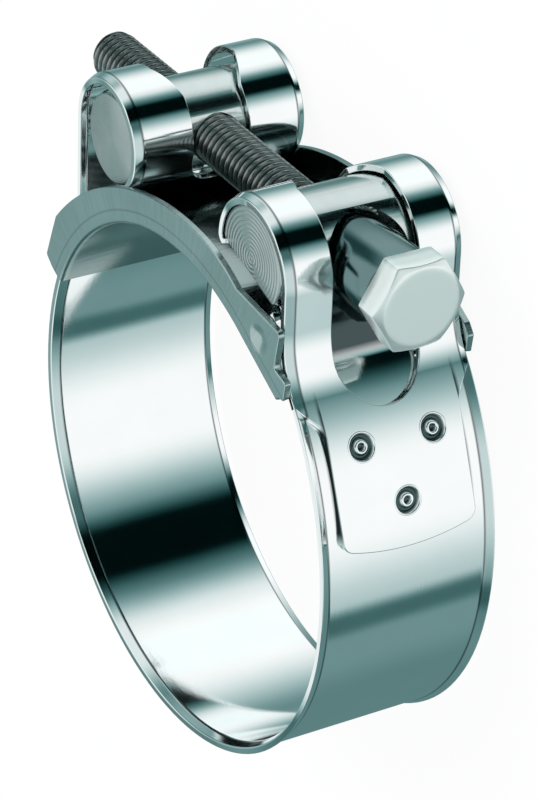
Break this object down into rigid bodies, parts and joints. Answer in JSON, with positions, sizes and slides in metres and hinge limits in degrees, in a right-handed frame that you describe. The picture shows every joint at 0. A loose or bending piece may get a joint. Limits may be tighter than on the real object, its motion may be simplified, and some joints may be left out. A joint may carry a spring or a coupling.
{
  "type": "bolt hose clamp",
  "caption": "Wide folded-band hose clamp with a curved bridge, cross bars in its end loops and a hex bolt with a spacer that draws them together.",
  "frame": {"origin": "centre of the hose bore at the middle of the band's width", "axes": "+Z along the hose's axis, +X along the bolt towards its head, +Y from the hose towards the bolt; the clamp lies on the edges of its band and bridge"},
  "size_m": [0.0699, 0.0752, 0.0238],
  "materials": {
    "band_steel": "polished stainless strip with a faint rolling grain",
    "bridge_steel": "polished stainless plate, satin on its flanges",
    "trunnion_steel": "turned stainless bar, smooth round and ringed ends",
    "bolt_steel": "satin stainless bolt",
    "spacer_steel": "smooth drawn stainless tube"
  },
  "bodies": {
    "clamp": {"band": "band_steel", "bridge": "bridge_steel", "front_trunnion": "trunnion_steel", "rear_trunnion": "trunnion_steel"},
    "sleeve": {"spacer": "spacer_steel"},
    "bolt": {"hex_bolt": "bolt_steel"}
  },
  "joints": [
    {"name": "bolt_travel", "type": "slide", "parent": "clamp", "child": "sleeve", "axis": [1, 0, 0], "range_m": [0, 0.024]},
    {"name": "bolt_turn", "type": "hinge", "parent": "sleeve", "child": "bolt", "pos_m": [0, 0.0356, 0], "axis": [1, 0, 0], "range_deg": [0, 8640]}
  ],
  "couplings": [
    {"joint": "bolt_turn", "follows": "bolt_travel", "rad_per_m": 6283.2}
  ]
}
